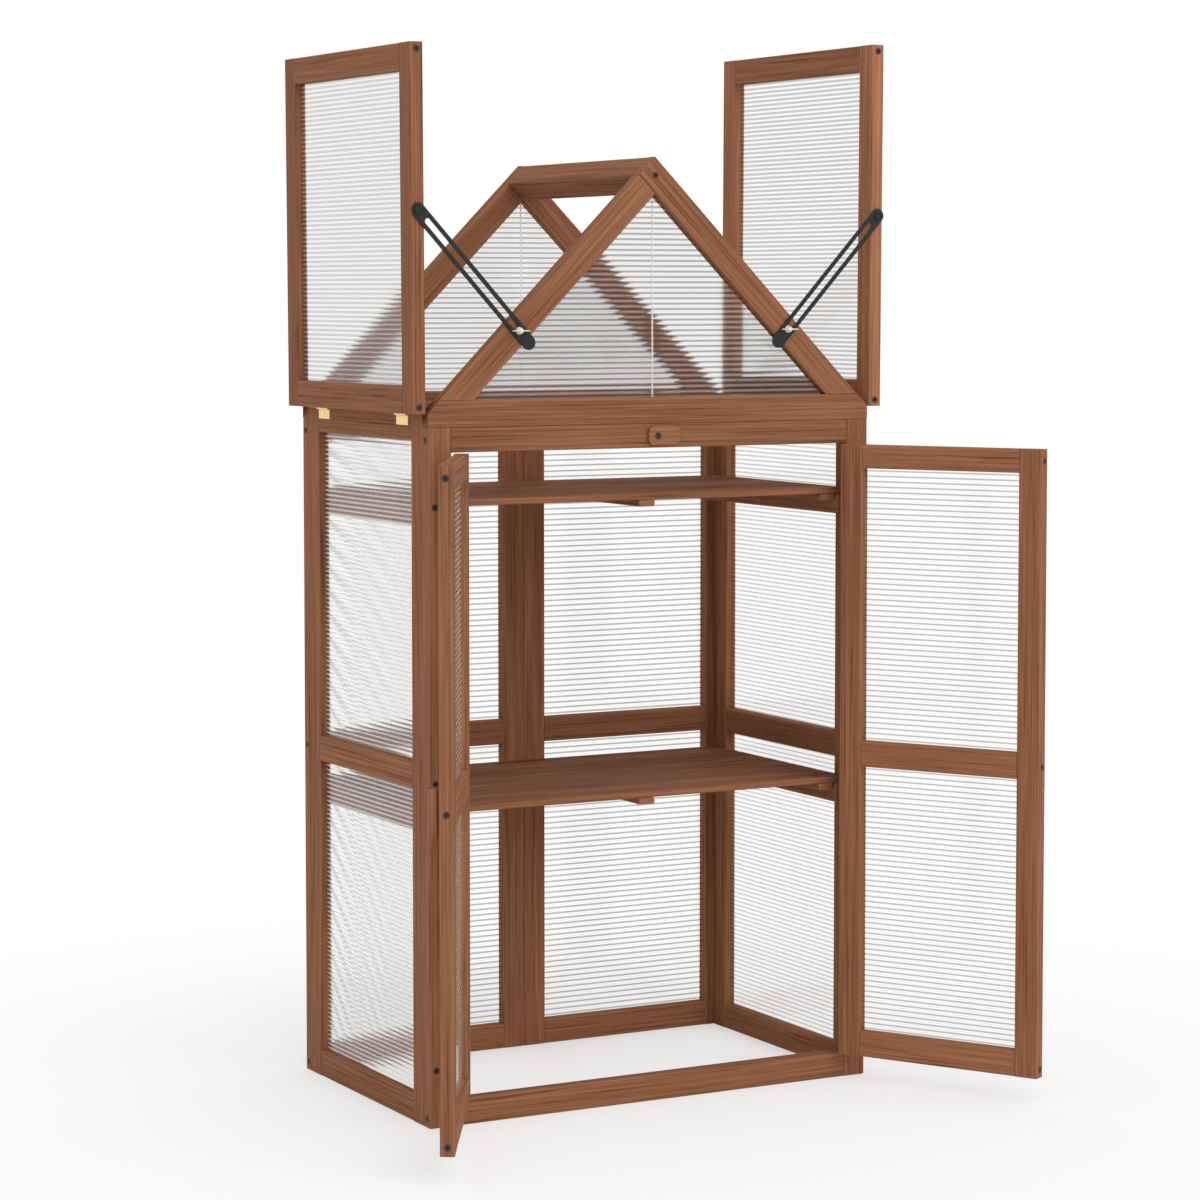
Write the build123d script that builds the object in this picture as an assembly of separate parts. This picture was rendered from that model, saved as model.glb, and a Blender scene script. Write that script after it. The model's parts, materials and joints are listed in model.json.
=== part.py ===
from build123d import *
from math import cos, hypot, radians, sin, sqrt
import os

# A small wooden greenhouse cabinet: framed sides and back, two doors, a gable roof of two
# hinged panels, two slatted shelves and clear ribbed sheets in every frame.
# Sizes are in millimetres. +X is to the right, +Y to the back and +Z up. The origin is in the
# middle of the underside of the front bottom rail. Both roof slopes are at 45 degrees, so they
# are square to each other at the ridge.

# Overall sizes
width = 760.0  # outside of the two side frames
depth = 455.0  # front face to back face
eave_height = 1057.0  # where the line of a roof slope meets the outer face of a side
gable_heel = 21.5  # upright end of a gable rail, below the eave
side_drop = 1.0  # the side frames end this far below the eave

# Framing boards
board = 21.0  # thickness of every frame
stile_width = 38.0
rail_height = 40.0
top_rail_height = 36.5  # top rails of the front, the back and the doors
middle_rail_rise = 2.25  # middle rails of the sides and back, above half a post's height
rafter_depth = 40.0
ridge_side = 40.0
edge_ease = 1.5

# Clear ribbed sheets, held in grooves
pane_thickness = 4.0
rib_pitch = 7.0  # of the sides and the roof panels
door_rib_pitch = 8.3
back_rib_pitch = 8.9
gable_rib_pitch = 8.0
rib_depth = 1.0
groove_depth = 8.0
groove_clearance = 0.2  # each side of a sheet
pane_play = 0.5  # from a sheet's edge to the bottom of its groove
pane_joint = 0.5  # between the two sheets of a gable

# Doors
door_gap = 1.0  # round a door, and half the gap where the doors meet
door_rail_drop = 0.75  # a door's middle rail, below half a post's height
door_open = 120.0  # degrees from closed, as the doors stand
door_hinge_inset = 120.0  # from the ends of a door to the middle of a hinge

# Roof panels
roof_gap = 0.5  # between a closed panel and the slope under it
roof_lean = 0.35  # degrees past upright, as the panels stand
roof_hinge_inset = 86.0  # from the front and the back to the middle of a hinge
ridge_gap = 1.0  # between the left panel's end and the right panel, which covers it

# Hinges
hinge_length = 40.0
leaf_width = 16.5
leaf_thickness = 1.5
leaf_clearance = 0.5  # between the two leaves of a closed door's hinge
knuckle_radius = 2.5
knuckle_clearance = 0.3
pin_radius = 1.2
pin_clearance = 0.08
pocket_clearance = 0.2

# Shelves
upper_shelf_drop = 128.5  # its top, below the eave
middle_shelf_drop = 47.0  # its top, below the middle of the sides' middle rails
slat_width = 78.0
slat_gap = 3.0  # least gap between slats
slat_thickness = 10.0
shelf_end_gap = 4.0  # from the slats to the front and back frames
shelf_side_gap = 1.0  # from the slats to the side frames
batten_width = 27.0
batten_thickness = 10.0
batten_gap = 2.0  # from an outer batten to its bearer
bearer_thickness = 20.0
bearer_height = 31.0
bearer_end_gap = 1.0

# Stays that hold the roof panels up
stay_pivot_run = 298.0  # along a panel, from its hinge axis
stay_stud_run = 189.0  # along a rafter, from the eave
stay_width = 22.0
stay_thickness = 2.5
stay_tail = 24.0  # past the stud, when a panel is up
stay_gap = 0.5  # from a stay to the wood, and to the heads in front of it
stay_slot_start = 22.0  # from the pivot
stay_slot_play = 1.5  # each side of the stud
stud_radius = 3.0
pivot_head_radius = 6.5
pivot_head_thickness = 2.0
pivot_clearance = 0.1
nut_radius = 5.5
nut_length = 7.0
nut_taper = 1.5
wing_reach = 15.0
wing_radius = 4.0
wing_thickness = 2.2

# Turn button over the doors
button_length = 54.5
button_width = 30.0
button_thickness = 6.0
button_round = 10.5  # of its corners
button_pivot_inset = 15.5  # from its end
button_offset = 1.5  # from the middle of the front
button_gap = 0.3
button_screw_radius = 2.5
button_head_radius = 5.0
button_head_thickness = 1.6

# Door pulls
pull_height = 70.0
pull_width = 24.0
pull_depth = 18.5
pull_neck_width = 14.0
pull_neck_depth = 3.0
pull_round = 5.0

# Countersunk screws
screw_head_radius = 5.0
screw_core_radius = 1.6
screw_head_depth = 3.2
screw_head_sides = 8
post_screw_low = 86.0  # the lowest of a post, above the ground
post_screw_middle = 5.75  # the middle one, below half the post's height
post_screw_high = 116.5  # the highest, below the post's top
low_screw = 13.0  # of a frame's bottom rail, above its underside
roof_screw_inset = 10.0

# Places that follow from the sizes
half_width = width / 2
front = -board / 2
back = front + depth
middle_y = (front + back) / 2
post_height = eave_height - gable_heel
half_post = post_height / 2
side_height = eave_height - side_drop
middle_rail_centre = half_post + middle_rail_rise
door_rail_centre = half_post - door_rail_drop
upper_shelf_top = eave_height - upper_shelf_drop
middle_shelf_top = middle_rail_centre - middle_shelf_drop
gable_rail_top = post_height + rail_height
ridge_height = eave_height + half_width
ridge_beam_z = ridge_height - ridge_side / sqrt(2)
hinge_stand = knuckle_radius + knuckle_clearance  # from a hinge axis to the wood behind it
inner_side = half_width - board
pane_bite = groove_depth - pane_play
sides = ((-1, "left"), (1, "right"))
upward = (Align.CENTER, Align.CENTER, Align.MIN)

nodes = {}


def box_between(low, high):
    size = [end - start for start, end in zip(low, high)]
    centre = [(start + end) / 2 for start, end in zip(low, high)]
    return Pos(*centre) * Box(*size)


def plank(low, high):
    # A board between two corners, with the edges along its grain eased.
    size = [end - start for start, end in zip(low, high)]
    grain = (Axis.X, Axis.Y, Axis.Z)[size.index(max(size))]
    return chamfer(box_between(low, high).edges().filter_by(grain), edge_ease)


def prism(points, start, end):
    # An upright outline of (x, z) points, carried from one Y to another.
    wire = Wire.make_polygon([(x, start, z) for x, z in points])
    return extrude(Face(wire), end - start, dir=(0, 1, 0))


def ribbed_sheet(low, high, nominal_pitch):
    # A sheet with a flat inner face and level ribs on its outer face, which is towards -Y. The
    # pitch is brought to a whole number of ribs.
    ribs = round((high[2] - low[2]) / nominal_pitch)
    pitch = (high[2] - low[2]) / ribs
    crest, flat = low[1], high[1]
    valley = crest + rib_depth
    outline = [(low[0], flat, high[2]), (low[0], flat, low[2])]
    for rib in range(ribs):
        foot = low[2] + rib * pitch
        outline += [(low[0], valley, foot), (low[0], crest, foot + pitch / 2)]
    outline.append((low[0], valley, high[2]))
    return extrude(Face(Wire.make_polygon(outline)), high[0] - low[0], dir=(1, 0, 0))


def framed_panel(panel_width, panel_height, rail_spans, sheet_pitch):
    # Stiles, rails and sheets of a frame whose outer face is on Y = 0, with its low left
    # corner at the origin. Each rail runs from one height to another, the lowest first.
    far = panel_width - stile_width
    stiles = [
        plank((0, 0, 0), (stile_width, board, panel_height)),
        plank((far, 0, 0), (panel_width, board, panel_height)),
    ]
    rails = [plank((stile_width, 0, low), (far, board, high)) for low, high in rail_spans]
    grooves = []
    panes = []
    for lower, upper in zip(rail_spans, rail_spans[1:]):
        corners = []
        for grow, half in (
            (groove_depth, pane_thickness / 2 + groove_clearance),
            (pane_bite, pane_thickness / 2),
        ):
            low = (stile_width - grow, board / 2 - half, lower[1] - grow)
            high = (far + grow, board / 2 + half, upper[0] + grow)
            corners.append((low, high))
        grooves.append(box_between(*corners[0]))
        panes.append(ribbed_sheet(*corners[1], sheet_pitch))
    return [stile - grooves for stile in stiles], [rail - grooves for rail in rails], panes


def screw(point, outward):
    # The countersunk head of a screw, eight-sided, flush with the wood at a point of its surface.
    core = Pos(0, 0, -screw_head_depth) * RegularPolygon(screw_core_radius, screw_head_sides)
    head = RegularPolygon(screw_head_radius, screw_head_sides)
    return Plane(origin=point, z_dir=outward) * loft([core, head])


def hinge_frame(point, toward, seat):
    # Local X runs along a leaf, local Y points at the wood that it lies on, Z is the axis.
    along = Vector(toward).cross(Vector(seat))
    return Plane(origin=point, x_dir=toward, z_dir=along)


def hinge_leaf(point, toward, seat, seat_distance, outer):
    # One leaf of a butt hinge. The outer leaf has the two end knuckles, the other the middle.
    half = hinge_length / 2
    middle = hinge_length / 6  # half the middle knuckle
    clearance = knuckle_clearance / 2
    if outer:
        spans = [(-half, -middle - clearance), (middle + clearance, half)]
    else:
        spans = [(clearance - middle, middle - clearance)]
    low_y = seat_distance - leaf_thickness
    leaf = box_between((hinge_stand, low_y, -half), (leaf_width, seat_distance, half))
    for start, end in spans:
        leaf += box_between((0, low_y, start), (hinge_stand, seat_distance, end))
        leaf += Pos(0, 0, (start + end) / 2) * Cylinder(knuckle_radius, end - start)
    leaf -= Cylinder(pin_radius + pin_clearance, hinge_length)
    return hinge_frame(point, toward, seat) * leaf


def hinge_pin(point, toward, seat):
    return hinge_frame(point, toward, seat) * Cylinder(pin_radius, hinge_length)


def hinge_pocket(point, toward, seat, seat_distance):
    # The mortise that lets a hinge's leaf into the wood.
    half = hinge_length / 2 + pocket_clearance
    pocket = box_between((0, 0, -half), (leaf_width + pocket_clearance, seat_distance, half))
    return hinge_frame(point, toward, seat) * pocket


def facing_side(side, outer, inset, low):
    # Stands a panel on edge along a side of the cabinet, with its outer face outwards.
    start = back - inset if side < 0 else front + inset
    return Location((side * outer, start, low), (0, 0, 90 * side))


def turned(shapes, axis, angle):
    return [shape.rotate(axis, angle) for shape in shapes]


def placed(shapes, location):
    return [location * shape for shape in shapes]


def stadium(length, breadth, thickness):
    # A flat bar with round ends, from an end's centre at the origin along X, on Z = 0.
    outline = Pos(length / 2, 0) * SlotCenterToCenter(length, breadth)
    return extrude(outline, thickness)


# Screws of the cabinet, and the boards that they go into
frame_screws = []
top_rail_centre = post_height - top_rail_height / 2
post_screw_heights = (post_screw_low, half_post - post_screw_middle, post_height - post_screw_high)
for side in (-1, 1):
    post_x = side * (half_width - board / 2)
    for height in post_screw_heights:
        frame_screws.append(screw((post_x, front, height), (0, -1, 0)))
        frame_screws.append(screw((post_x, back, height), (0, 1, 0)))
    side_x = side * half_width
    for height in (low_screw, top_rail_centre):
        frame_screws.append(screw((side_x, front + board / 2, height), (side, 0, 0)))
    for height in (low_screw, middle_rail_centre, top_rail_centre):
        frame_screws.append(screw((side_x, back - board / 2, height), (side, 0, 0)))
for face, outward in ((front, -1), (back, 1)):
    frame_screws.append(screw((0, face, ridge_beam_z), (0, outward, 0)))
nodes["frame_screws"] = frame_screws

# Door opening and door hinges
door_low = rail_height + door_gap
door_high = post_height - top_rail_height - door_gap
door_height = door_high - door_low
door_width = half_width - stile_width - 2 * door_gap
door_axis_x = half_width - stile_width - door_gap / 2
door_axis_y = front - hinge_stand
door_seat = leaf_clearance / 2 + leaf_thickness
door_hinge_heights = (door_low + door_hinge_inset, door_high - door_hinge_inset)

# Front frame
door_hinge_leaves = []
hinge_pins = []
for side, name in sides:
    low_x, high_x = sorted((side * half_width, side * (half_width - stile_width)))
    post = plank((low_x, front, 0), (high_x, front + board, post_height)) - frame_screws
    for height in door_hinge_heights:
        point = (side * door_axis_x, door_axis_y, height)
        post -= hinge_pocket(point, (0, 1, 0), (side, 0, 0), door_seat)
        door_hinge_leaves.append(hinge_leaf(point, (0, 1, 0), (side, 0, 0), door_seat, True))
        hinge_pins.append(hinge_pin(point, (0, 1, 0), (side, 0, 0)))
    nodes[f"front_{name}_post"] = [post]
nodes["door_hinge_frame_leaves"] = door_hinge_leaves
rail_x = half_width - stile_width
nodes["front_bottom_rail"] = [plank((-rail_x, front, 0), (rail_x, front + board, rail_height))]
nodes["front_top_rail"] = [
    plank((-rail_x, front, post_height - top_rail_height), (rail_x, front + board, post_height))
]

# Side frames and the bearers on their inner faces
middle_span = (middle_rail_centre - rail_height / 2, middle_rail_centre + rail_height / 2)
side_spans = [(0, rail_height), middle_span, (side_height - rail_height, side_height)]
bearers = []
for side, name in sides:
    location = facing_side(side, half_width, board, 0)
    stiles, rails, panes = framed_panel(depth - 2 * board, side_height, side_spans, rib_pitch)
    nodes[f"{name}_side_stiles"] = placed(stiles, location)
    nodes[f"{name}_side_rails"] = placed(rails, location)
    nodes[f"{name}_side_panes"] = placed(panes, location)
    low_x, high_x = sorted((side * inner_side, side * (inner_side - bearer_thickness)))
    for shelf_top in (upper_shelf_top, middle_shelf_top):
        top = shelf_top - slat_thickness
        low = (low_x, front + board + bearer_end_gap, top - bearer_height)
        bearers.append(plank(low, (high_x, back - board - bearer_end_gap, top)))
nodes["shelf_bearers"] = bearers

# Back: two frames side by side
back_spans = [(0, rail_height), middle_span, (post_height - top_rail_height, post_height)]
back_stiles = []
back_rails = []
back_panes = []
for start in (0, half_width):
    location = Location((start, back, 0), (0, 0, 180))
    stiles, rails, panes = framed_panel(half_width, post_height, back_spans, back_rib_pitch)
    back_stiles += [stile - frame_screws for stile in placed(stiles, location)]
    back_rails += placed(rails, location)
    back_panes += placed(panes, location)
nodes["back_stiles"] = back_stiles
nodes["back_rails"] = back_rails
nodes["back_panes"] = back_panes


def gable_opening(grow):
    # The triangle between a gable's rail and rafters, made larger all round.
    base = gable_rail_top - grow
    peak = ridge_height + (grow - rafter_depth) * sqrt(2)
    return base, peak, peak - base


def gable_frame():
    # The front gable. The right rafter runs through to the ridge and the left one butts on it.
    shoulder = half_width - (gable_rail_top - eave_height)
    rail = prism(
        [
            (-half_width, post_height),
            (half_width, post_height),
            (half_width, eave_height),
            (shoulder, gable_rail_top),
            (-shoulder, gable_rail_top),
            (-half_width, eave_height),
        ],
        front,
        front + board,
    )
    rail = chamfer(rail.edges().filter_by(Axis.X), edge_ease)
    step = rafter_depth / sqrt(2)  # across a rafter, along X and along Z
    foot = shoulder - rafter_depth * sqrt(2)
    right_end = (-step, ridge_height - step)
    left = [
        (-shoulder, gable_rail_top),
        (-foot, gable_rail_top),
        (0, ridge_height - 2 * step),
        right_end,
    ]
    right = [(shoulder, gable_rail_top), (foot, gable_rail_top), right_end, (0, ridge_height)]
    rafters = []
    for outline, rise in ((left, 1), (right, -1)):
        rafter = prism(outline, front, front + board)
        grain = Axis((0, 0, 0), (1, 0, rise))
        rafters.append(chamfer(rafter.edges().filter_by(grain), edge_ease))

    base, peak, half_base = gable_opening(groove_depth)
    pane_centre = front + board / 2
    groove_half = pane_thickness / 2 + groove_clearance
    triangle = [(-half_base, base), (half_base, base), (0, peak)]
    groove = prism(triangle, pane_centre - groove_half, pane_centre + groove_half)

    base, peak, half_base = gable_opening(pane_bite)
    pane_front = pane_centre - pane_thickness / 2
    pane_back = pane_centre + pane_thickness / 2
    sheet_corners = (-half_base, pane_front, base), (half_base, pane_back, peak)
    sheet = ribbed_sheet(*sheet_corners, gable_rib_pitch)
    panes = []
    for side in (-1, 1):
        near = side * pane_joint / 2
        half = [(near, base), (side * half_base, base), (near, peak - pane_joint / 2)]
        panes.append(sheet & prism(half, front, front + board))
    return rail - groove, [rafter - groove for rafter in rafters], panes


# Gables and ridge; the back gable is the same frame turned round
rail, rafters, panes = gable_frame()
about_middle = Location((0, 2 * middle_y, 0), (0, 0, 180))
for name, turn in (("front", Location()), ("back", about_middle)):
    nodes[f"{name}_gable_rail"] = [turn * rail]
    nodes[f"{name}_gable_rafters"] = [turn * rafter - frame_screws for rafter in rafters]
    nodes[f"{name}_gable_panes"] = placed(panes, turn)
ridge_size = (ridge_side, depth - 2 * board, ridge_side)
ridge_corner = [size / 2 for size in ridge_size]
ridge_beam = plank([-corner for corner in ridge_corner], ridge_corner)
nodes["ridge_beam"] = [Location((0, middle_y, ridge_beam_z), (0, 45, 0)) * ridge_beam]

# Shelves: level slats on the bearers, with battens across their undersides
slat_start = front + board + shelf_end_gap
slat_run = depth - 2 * (board + shelf_end_gap)
slat_count = int((slat_run + slat_gap) // (slat_width + slat_gap))
slat_pitch = (slat_run - slat_width) / (slat_count - 1)
slat_x = inner_side - shelf_side_gap
batten_x = inner_side - bearer_thickness - batten_gap - batten_width / 2
battens = []
for name, top in (("upper", upper_shelf_top), ("middle", middle_shelf_top)):
    underside = top - slat_thickness
    slats = []
    for number in range(slat_count):
        near = slat_start + number * slat_pitch
        slats.append(plank((-slat_x, near, underside), (slat_x, near + slat_width, top)))
    nodes[f"{name}_shelf_slats"] = slats
    for centre in (-batten_x, 0, batten_x):
        low = (centre - batten_width / 2, slat_start, underside - batten_thickness)
        battens.append(plank(low, (centre + batten_width / 2, slat_start + slat_run, underside)))
nodes["shelf_battens"] = battens


def door_pull():
    # A pull seen from its end, with a narrow neck at the door, carried up its height.
    head_depth = pull_depth - pull_neck_depth
    head = Pos(0, -pull_neck_depth - head_depth / 2) * Rectangle(pull_width, head_depth)
    head = fillet(head.vertices().filter_by(lambda corner: corner.Y < -pull_depth / 2), pull_round)
    stem = Pos(0, -pull_neck_depth / 2) * Rectangle(pull_neck_width, pull_neck_depth)
    return Pos(0, 0, -pull_height / 2) * extrude(head + stem, pull_height)


# Doors, modelled closed and then turned on their hinges
door_middle = door_rail_centre - door_low
door_spans = [
    (0, rail_height),
    (door_middle - rail_height / 2, door_middle + rail_height / 2),
    (door_height - top_rail_height, door_height),
]
door_screw_heights = (low_screw, door_middle, door_height - top_rail_height / 2)
for side, name in sides:
    stiles, rails, panes = framed_panel(door_width, door_height, door_spans, door_rib_pitch)
    near_x = door_gap if side > 0 else -door_gap - door_width
    location = Location((near_x, front, door_low))
    hinge_stile, free_stile = placed(stiles, location)[::-side]
    free_x = side * door_gap
    screws = [
        screw((free_x, front + board / 2, door_low + height), (-side, 0, 0))
        for height in door_screw_heights
    ]
    leaves = []
    for height in door_hinge_heights:
        point = (side * door_axis_x, door_axis_y, height)
        hinge_stile -= hinge_pocket(point, (0, 1, 0), (-side, 0, 0), door_seat)
        leaves.append(hinge_leaf(point, (0, 1, 0), (-side, 0, 0), door_seat, False))
    pull_x = side * (door_gap + stile_width / 2)
    pull = Pos(pull_x, front, door_rail_centre) * door_pull()
    axis = Axis((side * door_axis_x, door_axis_y, 0), (0, 0, 1))
    pieces = {
        "hinge_stile": [hinge_stile],
        "free_stile": [free_stile - screws],
        "rails": placed(rails, location),
        "panes": placed(panes, location),
        "screws": screws,
        "hinge_leaves": leaves,
        "pull": [pull],
    }
    for piece, shapes in pieces.items():
        nodes[f"{name}_door_{piece}"] = turned(shapes, axis, side * door_open)

# Roof panels, modelled upright and then leaned outwards. Closed, the right panel passes over
# the end of the left one at the ridge. Their hinge leaves are let in flush with their lower edges.
roof_axis_x = half_width + hinge_stand
roof_axis_z = eave_height - hinge_stand
roof_foot = hinge_stand - leaf_thickness  # from a hinge axis to the lower edge of a panel
roof_low = roof_axis_z + roof_foot
ridge_run = roof_axis_x * sqrt(2)  # from a hinge axis to the ridge, along the slope
roof_lengths = {
    -1: ridge_run + roof_gap - ridge_gap - roof_foot,
    1: ridge_run + roof_gap + board - roof_foot,
}
roof_hinge_places = (front + roof_hinge_inset, back - roof_hinge_inset)
stay_pivot_out = roof_gap + board / 2
frame_leaves = []
for side, name in sides:
    length = roof_lengths[side]
    spans = [(0, rail_height), (length - rail_height, length)]
    stiles, rails, panes = framed_panel(depth, length, spans, rib_pitch)
    outer = roof_axis_x + roof_gap + board
    location = facing_side(side, outer, 0, roof_low)
    edge_x = side * (outer - board / 2)
    screws = []
    for height in (roof_screw_inset, length - roof_screw_inset):
        for edge, outward in ((front, -1), (back, 1)):
            screws.append(screw((edge_x, edge, roof_low + height), (0, outward, 0)))
    leaves = []
    pockets = []
    for place in roof_hinge_places:
        point = (side * roof_axis_x, place, roof_axis_z)
        frame_leaves.append(hinge_leaf(point, (0, 0, -1), (-side, 0, 0), hinge_stand, True))
        leaves.append(hinge_leaf(point, (side, 0, 0), (0, 0, 1), hinge_stand, False))
        pockets.append(hinge_pocket(point, (side, 0, 0), (0, 0, 1), hinge_stand))
        hinge_pins.append(hinge_pin(point, (0, 0, -1), (-side, 0, 0)))
    pivot_start = (side * (roof_axis_x + stay_pivot_out), front, roof_axis_z + stay_pivot_run)
    outward = Plane(origin=pivot_start, x_dir=(1, 0, 0), z_dir=(0, -1, 0))
    shank = 2 * stay_gap + stay_thickness
    pivot = Cylinder(stud_radius, shank, align=upward)
    pivot += Pos(0, 0, shank) * Cylinder(pivot_head_radius, pivot_head_thickness, align=upward)
    axis = Axis((side * roof_axis_x, 0, roof_axis_z), (0, 1, 0))
    pieces = {
        "stiles": [stile - screws for stile in placed(stiles, location)],
        "rails": [rail - pockets for rail in placed(rails, location)],
        "pane": placed(panes, location),
        "screws": screws,
        "hinge_leaves": leaves,
        "stay_pivot": [outward * pivot],
    }
    for piece, shapes in pieces.items():
        nodes[f"{name}_roof_{piece}"] = turned(shapes, axis, side * roof_lean)
nodes["roof_hinge_frame_leaves"] = frame_leaves
nodes["hinge_pins"] = hinge_pins


def wing_nut():
    # The nut's wings and hub on its stud, from the wood outwards along Z.
    base = 2 * stay_gap + stay_thickness
    nut = Pos(0, 0, base) * Cone(nut_radius, nut_radius - nut_taper, nut_length, align=upward)
    nut += Pos(0, 0, stay_gap) * Cylinder(stud_radius, base + nut_length, align=upward)
    tip = wing_reach - wing_radius
    hub = Pos(0, base + wing_radius) * Circle(wing_radius)
    tips = [Pos(x, base + nut_length + wing_radius / 2) * Circle(wing_radius) for x in (-tip, tip)]
    lobes = [make_hull((hub + end).edges()) for end in tips]
    wings = extrude(Plane.XZ * (lobes[0] + lobes[1]), wing_thickness / 2, both=True)
    return nut + wings


# Stays and their wing nuts, as they stand with the panels up
stud_inward = rafter_depth / 2
stud_x = half_width - (stay_stud_run + stud_inward) / sqrt(2)
stud_z = eave_height + (stay_stud_run - stud_inward) / sqrt(2)
lean = radians(roof_lean)
pivot_x = roof_axis_x + stay_pivot_out * cos(lean) + stay_pivot_run * sin(lean)
pivot_z = roof_axis_z + stay_pivot_run * cos(lean) - stay_pivot_out * sin(lean)
stud_distance = hypot(pivot_x - stud_x, pivot_z - stud_z)
for side, name in sides:
    slot_width = 2 * (stud_radius + stay_slot_play)
    slot_run = stud_distance - stay_slot_start
    arm = stadium(stud_distance + stay_tail, stay_width, stay_thickness)
    arm -= Pos(stay_slot_start) * stadium(slot_run, slot_width, stay_thickness)
    arm -= Cylinder(stud_radius + pivot_clearance, stay_thickness, align=upward)
    along = (side * (stud_x - pivot_x), 0, stud_z - pivot_z)
    arm_start = (side * pivot_x, front - stay_gap, pivot_z)
    arm_plane = Plane(origin=arm_start, x_dir=along, z_dir=(0, -1, 0))
    nodes[f"{name}_stay"] = [arm_plane * arm]
    stud_plane = Plane(origin=(side * stud_x, front, stud_z), x_dir=(1, 0, 0), z_dir=(0, -1, 0))
    nodes[f"{name}_wing_nut"] = [stud_plane * wing_nut()]

# Turn button on the front top rail, with the screw that it turns on
button_origin = (button_offset, front - button_gap, top_rail_centre)
button_plane = Plane(origin=button_origin, x_dir=(1, 0, 0), z_dir=(0, -1, 0))
button_outline = RectangleRounded(button_length, button_width, button_round)
button = extrude(Pos(button_length / 2 - button_pivot_inset) * button_outline, button_thickness)
button = chamfer(button.faces().sort_by(Axis.Z)[-1].edges(), edge_ease)
button -= Cylinder(button_screw_radius + pin_clearance, button_thickness, align=upward)
nodes["turn_button"] = [button_plane * button]
shank = button_thickness + 2 * button_gap
button_screw = Cylinder(button_screw_radius, shank, align=upward)
button_screw += Pos(0, 0, shank) * Cylinder(button_head_radius, button_head_thickness, align=upward)
nodes["turn_button_screw"] = [button_plane * Pos(0, 0, -button_gap) * button_screw]

os.makedirs("parts", exist_ok=True)
for name, shapes in nodes.items():
    solids = [solid for shape in shapes for solid in shape.solids()]
    export_step(Compound(solids), f"parts/{name}.step")
print(len(nodes), "nodes")
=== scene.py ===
import json
import bmesh
import bpy
import numpy as np
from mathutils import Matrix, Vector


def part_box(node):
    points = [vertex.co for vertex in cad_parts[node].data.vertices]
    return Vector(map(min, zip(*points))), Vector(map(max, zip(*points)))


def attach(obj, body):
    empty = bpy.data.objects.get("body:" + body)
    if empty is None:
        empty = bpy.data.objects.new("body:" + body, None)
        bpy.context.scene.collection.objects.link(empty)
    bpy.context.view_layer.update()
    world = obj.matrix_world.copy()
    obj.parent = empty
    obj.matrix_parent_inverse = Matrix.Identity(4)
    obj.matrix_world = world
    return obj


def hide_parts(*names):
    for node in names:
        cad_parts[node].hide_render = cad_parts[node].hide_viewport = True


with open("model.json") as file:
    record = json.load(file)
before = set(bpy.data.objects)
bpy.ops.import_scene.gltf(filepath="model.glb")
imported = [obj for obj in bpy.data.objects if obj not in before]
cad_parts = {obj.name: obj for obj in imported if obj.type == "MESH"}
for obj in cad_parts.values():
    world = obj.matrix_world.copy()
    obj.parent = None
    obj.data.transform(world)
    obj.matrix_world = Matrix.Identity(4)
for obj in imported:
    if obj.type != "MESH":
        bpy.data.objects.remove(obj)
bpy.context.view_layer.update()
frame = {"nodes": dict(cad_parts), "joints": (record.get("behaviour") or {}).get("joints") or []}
rng = np.random.default_rng(41)
root2 = np.sqrt(2)
sides = ((-1, "left"), (1, "right"))
print("frame loaded with", len(frame["nodes"]), "nodes")


def nodeBox(node):
    return [np.array(corner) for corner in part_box(node)]


# sizes of the cabinet, read from the frame
postLow, postHigh = nodeBox("front_left_post")
halfWidth, frontY = -postLow[0], postLow[1]
stileWidth, boardThick, postTop = postHigh - postLow
insideFront = frontY + boardThick
backY = nodeBox("back_stiles")[1][1]
insideBack = backY - boardThick
middleY = (frontY + backY) / 2
railHeight = nodeBox("front_bottom_rail")[1][2]
topRailLow = nodeBox("front_top_rail")[0][2]
sideTop = nodeBox("left_side_stiles")[1][2]
gableTop = nodeBox("front_gable_rail")[1][2]
ridgeTop = nodeBox("front_gable_rafters")[1][2]
eave = ridgeTop - halfWidth
joints = {joint["name"]: joint for joint in frame["joints"]}
doorOpen = joints["right_door_hinge"]["range_deg"][0]
doorAxis = np.array(joints["right_door_hinge"]["pos_m"])
roofAxis = np.array(joints["right_roof_hinge"]["pos_m"])
stayPivot = np.array(joints["right_stay_pivot"]["pos_m"])

cabinet = dict(
    middleRail=0.520,  # centre height, sides and back
    doorRail=0.517,
    rafterDepth=0.040,
    doorGap=0.001,
    roofGap=0.0005,
    roofLean=0.35,  # degrees
    roofRise=0.0017,  # from the roof hinge line to a panel's lower edge
    leftRoofShort=0.001,  # the right panel covers the left one's end at the ridge
)


def turned(points, centre, axis, degrees):
    # turns points about a line: the part along the line stays, the rest turns by the angle
    axis = np.array(axis, float)
    angle = np.radians(degrees)
    arm = points - np.array(centre)
    flat = np.outer(arm @ axis, axis)
    return np.array(centre) + flat + (arm - flat) * np.cos(angle) + np.cross(axis, arm) * np.sin(angle)


def keepPlace(points):
    return points


def swingDoor(side):
    centre = doorAxis * (side, 1, 1)
    return lambda points: turned(points, centre, (0, 0, 1), -side * doorOpen)


def leanRoof(side):
    centre = roofAxis * (side, 1, 1)
    return lambda points: turned(points, centre, (0, 1, 0), side * cabinet["roofLean"])


def turnToBack(points):
    return turned(points, (0, middleY, 0), (0, 0, 1), 180)


def ringFaces(rings, count):
    # quads between neighbouring closed rings of a grid, numbered ring by ring
    ring = np.arange(rings - 1)[:, None] * count
    here = np.arange(count)[None, :]
    after = (here + 1) % count
    quads = np.stack([ring + here, ring + after, ring + count + after, ring + count + here], axis=-1)
    return quads.reshape(-1, 4).tolist()


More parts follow.
